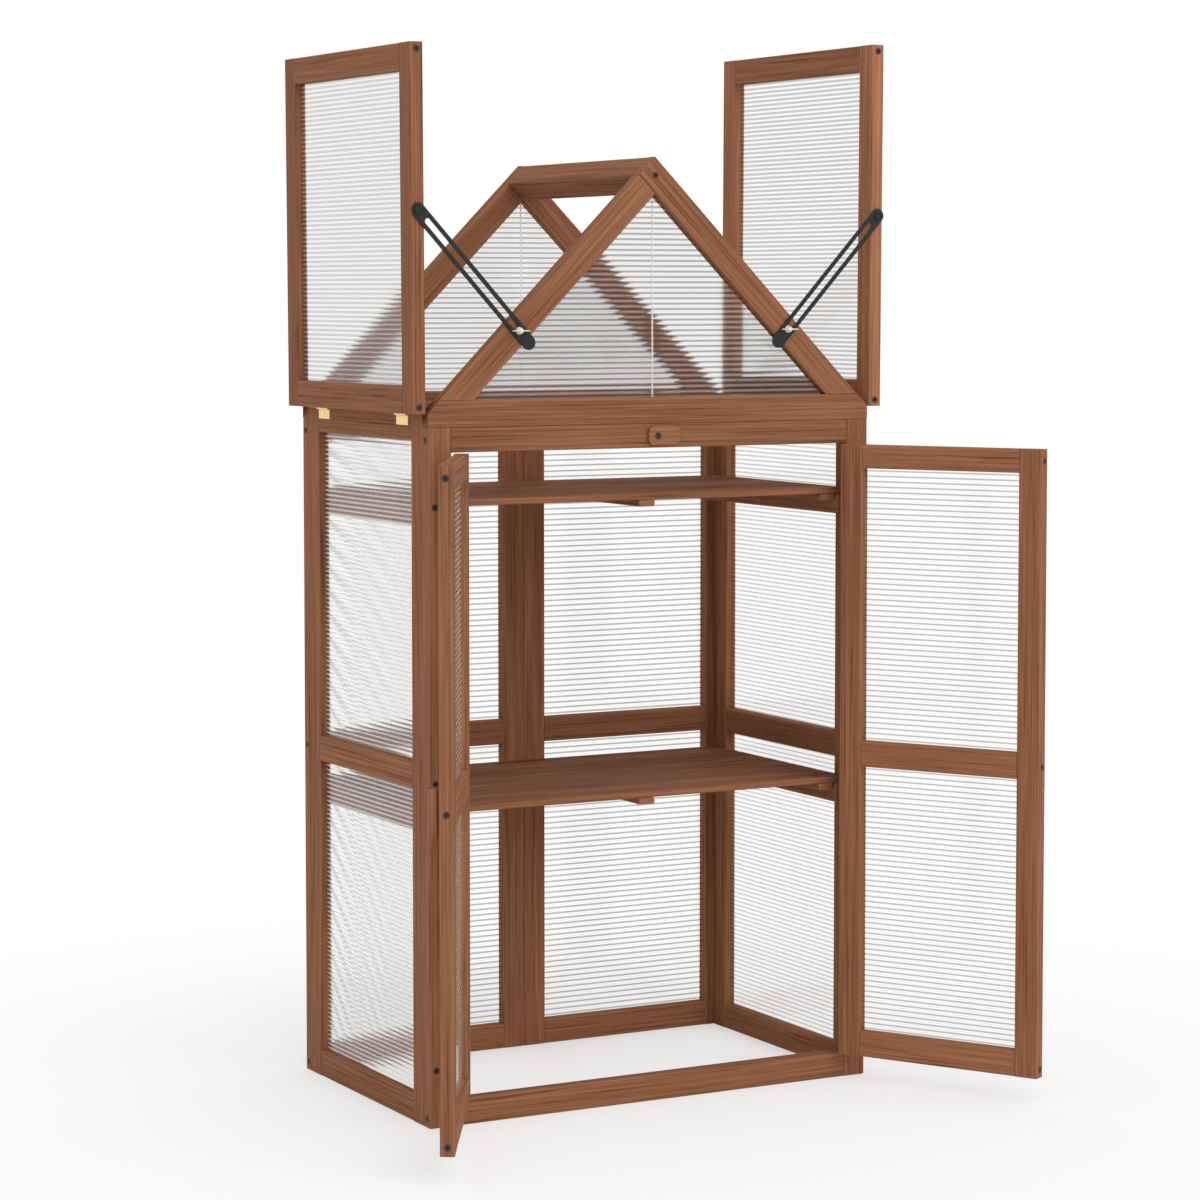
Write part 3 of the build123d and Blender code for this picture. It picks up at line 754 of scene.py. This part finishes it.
addBoards("shelfBearers", bearers, "frame", "shelf_bearers")
print("shelves built")

# doors, shaped closed and then swung open
doorGap = cabinet["doorGap"]
doorLow, doorTop = railHeight + doorGap, topRailLow - doorGap
doorSpans = railSpans(doorLow, cabinet["doorRail"], doorTop, doorTop - (postTop - topRailLow))
for side, name in sides:
    place = swingDoor(side)
    low = (side * doorGap, frontY, doorLow)
    high = (side * (innerX - doorGap), insideFront, doorTop)
    stiles, rails, panes = framedPanel(low, high, doorSpans, (0, -1, 0), ribForms[name + "Door"], place)
    hingeStile, freeStile = stiles[::-side]
    body = name + "_door"
    addBoards(name + "DoorHingeStile", [hingeStile], body, body + "_hinge_stile")
    addBoards(name + "DoorFreeStile", [freeStile], body, body + "_free_stile")
    addBoards(name + "DoorRails", rails, body, body + "_rails")
    addSheets(name + "DoorPanes", panes, body, body + "_panes")

# roof panels, shaped upright and then leaned
roofEnds = {}
for side, name in sides:
    place = leanRoof(side)
    body = name + "_roof_panel"
    near = roofAxis[0] + cabinet["roofGap"]
    foot = roofAxis[2] + cabinet["roofRise"]
    slope = roofAxis[0] * root2 + cabinet["roofGap"] - cabinet["roofRise"]
    top = foot + slope + (boardThick if side > 0 else -cabinet["leftRoofShort"])
    roofEnds[side] = (foot, top)
    spans = [(foot, foot + railHeight), (top - railHeight, top)]
    low, high = (side * near, frontY, foot), (side * (near + boardThick), backY, top)
    stiles, rails, panes = framedPanel(low, high, spans, (side, 0, 0), ribForms[name + "Roof"], place)
    addBoards(name + "RoofStiles", stiles, body, f"{name}_roof_stiles")
    addBoards(name + "RoofRails", rails, body, f"{name}_roof_rails")
    addSheets(name + "RoofPane", panes, body, f"{name}_roof_pane")
print("doors and roof panels built")

# hinges, carried over from the frame with a brass finish
hingeNodes = ["door_hinge_frame_leaves", "roof_hinge_frame_leaves", "hinge_pins"]
hingeNodes += [f"{name}_{kind}_hinge_leaves" for kind in ("door", "roof") for _, name in sides]
for node in hingeNodes:
    leaf = frame["nodes"][node].data
    leaf.materials.clear()
    leaf.materials.append(hingeBrass)


def shapeLathe(origin, out, radii, heights, around=32, place=keepPlace):
    # a profile of radii and heights turned about a level axis
    out = np.array(out, float)
    side = np.cross(out, (0, 0, 1))
    angle = np.linspace(0, 2 * np.pi, around, endpoint=False)
    circle = np.outer(np.cos(angle), side) + np.outer(np.sin(angle), np.cross(out, side))
    radii = np.array([np.broadcast_to(radius, around) for radius in radii])
    points = radii[:, :, None] * circle[None] + np.array(heights)[:, None, None] * out
    points = place(np.array(origin) + points.reshape(-1, 3))
    return dict(points=points, faces=cappedFaces(len(heights), around), marks={})


screwForm = dict(
    radius=0.0050,
    crossLong=0.0030,
    crossHalf=0.0007,
    crossDepth=0.0006,
    proud=0.0007,
    sunk=0.0006,
    around=48,
    crossShares=(0.3, 0.9),  # of the cross, the rings at its bottom
    crossSlope=0.8,  # of its depth, at the outer of them
    dome=(1.25, 1.15, 1.0),  # heights from the cross to the rim, of how far the head stands out
    rim=0.93,  # of the radius
)


def shapeScrew(point, out, radius=screwForm["radius"], place=keepPlace):
    # rings about the head's axis. The inner ones follow a cross, whose radius at each angle is the
    # nearer of an arm's end and an arm's side, and the outer ones grow to the head's circle
    around = screwForm["around"]
    angle = np.linspace(0, 2 * np.pi, around, endpoint=False) + np.pi / around
    cosine, sine = np.abs(np.cos(angle)), np.abs(np.sin(angle))
    armEnd = screwForm["crossLong"] / np.maximum(cosine, sine)
    armSide = screwForm["crossHalf"] / np.minimum(cosine, sine)
    cross = np.minimum(armEnd, armSide) * radius / screwForm["radius"]
    proud, depth = screwForm["proud"], screwForm["crossDepth"]
    rim = radius * screwForm["rim"]
    bottom = [cross * share for share in screwForm["crossShares"]]
    radii = [*bottom, cross, (cross + radius) / 2, rim, radius, radius]
    dome = [proud * rise for rise in screwForm["dome"]]
    flank = proud - depth * screwForm["crossSlope"]
    heights = [proud - depth, flank, *dome, 0.0, -screwForm["sunk"]]
    head = shapeLathe(point, out, radii, heights, around, place)
    # the bottom of the cross gets painted shade
    head["marks"]["recess"] = np.repeat([1.0, 1, 0, 0, 0, 0, 0], around)
    return head


def addScrews(name, shapes, body, node):
    return makePiece(name, shapes, screwSteel, body, "screw_steel", node)


# screws of the frame, the doors and the roof panels
screwPlaces = dict(postHeights=(0.086, 0.512, 0.919), low=0.013, roofInset=0.010)
railMiddle = (topRailLow + postTop) / 2
frontAndBack = ((frontY, -1), (backY, 1))
frameScrews = [shapeScrew((0, face, ridgeMiddle[2]), (0, way, 0)) for face, way in frontAndBack]
for side, name in sides:
    x = side * (halfWidth - boardThick / 2)
    for height in screwPlaces["postHeights"]:
        frameScrews += [shapeScrew((x, face, height), (0, way, 0)) for face, way in frontAndBack]
    frontEdge, backEdge = frontY + boardThick / 2, backY - boardThick / 2
    for y, heights in (
        (frontEdge, (screwPlaces["low"], railMiddle)),
        (backEdge, (screwPlaces["low"], cabinet["middleRail"], railMiddle)),
    ):
        frameScrews += [shapeScrew((side * halfWidth, y, height), (side, 0, 0)) for height in heights]
    highest = doorTop - (postTop - topRailLow) / 2
    doorHeights = (doorLow + screwPlaces["low"], cabinet["doorRail"], highest)
    doorScrews = [
        shapeScrew((side * doorGap, frontEdge, height), (-side, 0, 0), place=swingDoor(side))
        for height in doorHeights
    ]
    addScrews(name + "DoorScrews", doorScrews, name + "_door", f"{name}_door_screws")
    foot, top = roofEnds[side]
    x = side * (roofAxis[0] + cabinet["roofGap"] + boardThick / 2)
    roofScrews = [
        shapeScrew((x, face, height), (0, way, 0), place=leanRoof(side))
        for height in (foot + screwPlaces["roofInset"], top - screwPlaces["roofInset"])
        for face, way in frontAndBack
    ]
    addScrews(name + "RoofScrews", roofScrews, name + "_roof_panel", f"{name}_roof_screws")
addScrews("frameScrews", frameScrews, "frame", "frame_screws")


def roundedBar(start, end, half, steps):
    # the outline of a flat bar with round ends: a half circle about each end's centre
    angle = np.linspace(-np.pi / 2, np.pi / 2, steps + 1)
    x = np.r_[end + half * np.cos(angle), start - half * np.cos(angle)]
    return np.stack([x, np.r_[half * np.sin(angle), -half * np.sin(angle)]], axis=-1)


# stays: the bar's outline and its slot's outline carried round the bar's edges, then closed
stay = dict(
    half=0.011,
    thick=0.0025,
    tail=0.024,
    slotStart=0.022,
    slotHalf=0.0045,
    gap=0.0005,
    edge=0.0005,
    steps=18,
)
pivotHead = dict(
    radius=0.0065,
    shankRadius=0.003,
    shank=0.0030,
    thick=0.0020,
    ease=0.0006,
    hollow=(0.62, 0.56, 0.2),  # of the radius
)
outFront = np.array((0.0, -1.0, 0.0))


def shapeStay(pivot, stud):
    reach = np.linalg.norm(stud - pivot)
    along = (stud - pivot) / reach
    thick, edge = stay["thick"], stay["edge"]
    outerTurns = ((-edge, 0), (0, edge), (0, thick - edge), (-edge, thick))
    slotTurns = ((edge, thick), (0, thick - edge), (0, edge), (edge, 0))
    rings = []
    for start, end, half, turns in (
        (0, reach + stay["tail"], stay["half"], outerTurns),
        (stay["slotStart"], reach, stay["slotHalf"], slotTurns),
    ):
        for grow, height in turns:
            flat = roundedBar(start, end, half + grow, stay["steps"])
            rings.append(np.c_[flat, np.full(len(flat), height)])
    axes = np.array((along, np.cross(outFront, along), outFront))
    count = len(rings[0])
    faces = np.array(ringFaces(len(rings) + 1, count)) % (len(rings) * count)
    return dict(points=pivot + np.vstack(rings) @ axes, faces=faces.tolist(), marks={})


# wing nuts: a turned hub and two wings
hub = dict(
    radii=(0.0030, 0.0030, 0.0055, 0.0058, 0.0056, 0.0044, 0.0040, 0.0036, 0.0026, 0.0024, 0.0018),
    heights=(-0.0028, 0, 0, 0.0005, 0.0014, 0.0026, 0.0066, 0.0072, 0.0072, 0.0086, 0.0090),
)
wing = dict(
    start=0.0025,
    length=0.0125,
    foot=0.0035,
    rise=0.0040,
    riseBend=1.4,
    tall=0.0030,
    swell=0.0014,
    swellTurn=0.8,
    half=0.0013,
    tipBend=5,
    tipLeast=0.004,
    rings=14,
    around=20,
)


def shapeWing(origin, side):
    # an ellipse carried out along a rising arm, thickest past its middle and closed at its tip
    reach = np.linspace(0, 1, wing["rings"])[:, None]
    angle = np.linspace(0, 2 * np.pi, wing["around"], endpoint=False)[None, :]
    close = np.sqrt(np.clip(1 - reach ** wing["tipBend"], wing["tipLeast"], 1))
    tall = (wing["tall"] + wing["swell"] * np.sin(np.pi * reach * wing["swellTurn"])) * close
    x = side * (wing["start"] + wing["length"] * reach + 0 * angle)
    z = wing["half"] * close * np.cos(angle)
    y = -(wing["foot"] + wing["rise"] * reach ** wing["riseBend"] + tall * np.sin(angle))
    points = origin + np.stack([x, y, z], axis=-1).reshape(-1, 3)
    return dict(points=points, faces=cappedFaces(wing["rings"], wing["around"]), marks={})


for side, name in sides:
    pivot = stayPivot * (side, 1, 1)
    pivot[1] = frontY - stay["gap"]
    nutLow, nutHigh = nodeBox(name + "_wing_nut")
    stud = (nutLow + nutHigh) / 2
    stud[1] = pivot[1]
    bar = shapeStay(pivot, stud)
    makePiece(name + "Stay", [bar], stayCoat, name + "_stay_arm", "stay_steel", name + "_stay")
    radius, shank, ease = pivotHead["radius"], pivotHead["shank"] + stay["gap"], pivotHead["ease"]
    shankRadius = pivotHead["shankRadius"]
    face = shank + pivotHead["thick"]
    hollow = [radius * share for share in pivotHead["hollow"]]
    radii = [shankRadius, shankRadius, radius - ease, radius, radius, radius - ease, *hollow]
    heights = [0, shank, shank, shank + ease, face - ease, face, face, face - ease, face - ease]
    head = shapeLathe(pivot - outFront * stay["gap"], outFront, radii, heights)
    node = name + "_roof_stay_pivot"
    makePiece(name + "StayPivot", [head], stayCoat, name + "_roof_panel", "stay_steel", node)
    base = stud + outFront * (stay["thick"] + stay["gap"])
    nut = [shapeLathe(base, outFront, hub["radii"], hub["heights"])]
    nut += [shapeWing(base, -1), shapeWing(base, 1)]
    makePiece(name + "WingNut", nut, nutPlate, name + "_wing_nut", "wing_nut_zinc", name + "_wing_nut")
print("stays and wing nuts built")

# turn button: a rectangle with round corners stepped in over a quarter circle at its front edge
button = dict(
    corner=0.0105,
    edge=0.0014,
    edgeSteps=4,
    steps=10,
    back=0.0008,
    headRadius=0.005,
    headRise=0.0006,
    pith=(7.3, 0.012, 0.07),
    tone=0.03,
)
buttonLow, buttonHigh = nodeBox("turn_button")
buttonSize = buttonHigh - buttonLow
thick = buttonSize[1]


def buttonRing(inset):
    # a quarter circle about each corner's centre, all drawn in by the inset
    angle = np.linspace(0, np.pi / 2, button["steps"] + 1) + np.arange(4)[:, None] * np.pi / 2
    away = buttonSize[[0, 2]] / 2 - button["corner"]
    centres = np.array(((1, 1), (-1, 1), (-1, -1), (1, -1))) * away
    arc = np.stack([np.cos(angle), np.sin(angle)], axis=-1) * (button["corner"] - inset)
    return (centres[:, None] + arc).reshape(-1, 2)


bend = np.linspace(0, np.pi / 2, button["edgeSteps"] + 1)
edge = button["edge"]
insets = np.r_[button["back"], 0, 0, edge * (1 - np.cos(bend))[1:]]
heights = np.r_[0, button["back"], thick - edge, thick - edge * (1 - np.sin(bend))[1:]]
rings = [buttonRing(inset) for inset in insets]
count = len(rings[0])
local = np.c_[np.vstack(rings), np.repeat(heights, count)]
buttonAxes = np.array(((1, 0, 0), (0, 0, 1), (0, -1, 0)), float)
buttonBase = (buttonLow + buttonHigh) / 2
buttonBase[1] = buttonHigh[1]
grain = local + button["pith"]
# the button's rounded front edge gets wear and a painted edge highlight
wear = np.repeat(np.clip(insets / edge * 2, 0, 1) * (insets < edge), count)
buttonShape = dict(
    points=buttonBase + local @ buttonAxes,
    faces=cappedFaces(len(rings), count),
    marks=dict(grain=grain, tone=np.full(len(local), button["tone"]), wear=wear),
)
makePiece("turnButton", [buttonShape], wood, "turn_button", "frame_wood", "turn_button")
screwLow, screwHigh = nodeBox("turn_button_screw")
screwPoint = (screwLow + screwHigh) / 2
screwPoint[1] = buttonLow[1] - button["headRise"]
buttonScrew = shapeScrew(screwPoint, outFront, button["headRadius"])
addScrews("turnButtonScrew", [buttonScrew], "frame", "turn_button_screw")

# door pulls: a head on a narrow neck, with round outer corners, carried up its height
pull = dict(
    headHalf=0.012,
    neckHalf=0.007,
    neck=0.003,
    out=0.0185,
    corner=0.005,
    edge=0.001,
    height=0.070,
    bendSteps=6,
    worn=0.5,
)


def shapePull(side):
    bend = np.linspace(0, np.pi / 2, pull["bendSteps"] + 1)
    big, small = pull["corner"], pull["edge"]
    headHalf, neckHalf, neck, out = (pull[key] for key in ("headHalf", "neckHalf", "neck", "out"))
    right = [
        (np.array([neckHalf, neckHalf]), np.array([0.0, neck])),
        (headHalf - small + small * np.sin(bend[::2]), neck + small - small * np.cos(bend[::2])),
        (headHalf - big + big * np.cos(bend), out - big + big * np.sin(bend)),
    ]
    x = np.concatenate([part[0] for part in right])
    y = np.concatenate([part[1] for part in right])
    outline = (np.r_[x, -x[::-1]], np.r_[y, y[::-1]] - out / 2)
    bare = len(x) - len(bend)
    # the pull's outer round corners get wear and a painted edge highlight
    wear = np.r_[np.zeros(bare), np.full(len(bend), pull["worn"])]
    wear = np.r_[wear, wear[::-1]]
    centre = (side * (doorGap + stileWidth / 2), frontY - out / 2, cabinet["doorRail"])
    axes = ((0, 0, 1), (1, 0, 0), (0, -1, 0))
    reach = pull["height"] / 2
    return carryOutline(centre, axes, (*outline, wear), -reach, reach, place=swingDoor(side))


for side, name in sides:
    addBoards(name + "DoorPull", [shapePull(side)], name + "_door", f"{name}_door_pull")
print("button, pulls and screws built")

# floor, light and camera
studio = dict(
    floorColour=(0.985, 0.985, 0.985, 1),
    floorHalf=30.0,
    floorDrop=0.0005,
    floorFade=(0.4, 2.0, 0.5, 1.0),  # metres from the cabinet, and how much is plain white there
    ambient=0.74,
    sunStrength=1.15,
    sunAngle=60.0,
    sunTurn=(50.0, 0.0, 6.0),
    cameraPlace=(-2.541637, -4.515463, 1.233618),
    cameraTurn=(86.2603, 0.0, -28.5059),
    lens=102.814,
    sensor=36.0,
    shift=-0.07,
)


def seenWhite(tree):
    # white is only shown, straight or by way of metal and sheet: it lights nothing
    path = addNode(tree, "ShaderNodeLightPath").outputs
    through = maths(tree, "MAXIMUM", path["Is Glossy Ray"], path["Is Transmission Ray"])
    return maths(tree, "MAXIMUM", path["Is Camera Ray"], through)


reach = studio["floorHalf"]
floorMesh = bpy.data.meshes.new("floor")
below = -studio["floorDrop"]
corners = [(x * reach, y * reach, below) for x, y in ((-1, -1), (1, -1), (1, 1), (-1, 1))]
floorMesh.from_pydata(corners, [], [(0, 1, 2, 3)])
floor = bpy.data.objects.new("floor", floorMesh)
bpy.context.scene.collection.objects.link(floor)
floorMaterial, floorTree, floorShader = newMaterial("floorPaper")
floorLook = dict(Base_Color=studio["floorColour"], Roughness=1.0, Specular_IOR_Level=0.0)
setSockets(floorTree, floorShader, **floorLook)
place = addNode(floorTree, "ShaderNodeTexCoord").outputs["Object"]
away = addNode(floorTree, "ShaderNodeVectorMath", {0: place}, operation="LENGTH").outputs["Value"]
far = spread(floorTree, away, *studio["floorFade"])
far = maths(floorTree, "MULTIPLY", far, seenWhite(floorTree))
glow = addNode(floorTree, "ShaderNodeEmission", {"Color": (1, 1, 1, 1), "Strength": 1.0}).outputs[0]
paper = addNode(floorTree, "ShaderNodeMixShader", {0: far, 1: floorShader.outputs[0], 2: glow})
floorTree.links.new(paper.outputs[0], floorTree.nodes["Material Output"].inputs["Surface"])
floorMesh.materials.append(floorMaterial)

world = bpy.data.worlds.new("studioWorld")
bpy.context.scene.world = world
world.use_nodes = True
sky = world.node_tree
strengths = {"Value": seenWhite(sky), "To Min": studio["ambient"], "To Max": 1.0}
strength = addNode(sky, "ShaderNodeMapRange", strengths).outputs[0]
background = sky.nodes["Background"]
background.inputs["Color"].default_value = (1, 1, 1, 1)
sky.links.new(strength, background.inputs["Strength"])

sunLamp = bpy.data.lights.new("keyLight", "SUN")
sunLamp.energy = studio["sunStrength"]
sunLamp.angle = np.radians(studio["sunAngle"])
sun = bpy.data.objects.new("keyLight", sunLamp)
sun.rotation_euler = np.radians(studio["sunTurn"])
bpy.context.scene.collection.objects.link(sun)

lensData = bpy.data.cameras.new("photoCamera")
lensData.lens = studio["lens"]
lensData.sensor_width = studio["sensor"]
lensData.shift_y = studio["shift"]
camera = bpy.data.objects.new("photoCamera", lensData)
camera.location = studio["cameraPlace"]
camera.rotation_euler = np.radians(studio["cameraTurn"])
bpy.context.scene.collection.objects.link(camera)
bpy.context.scene.camera = camera
bpy.context.scene.view_settings.view_transform = "Standard"
print("studio set")

print("pieces done")
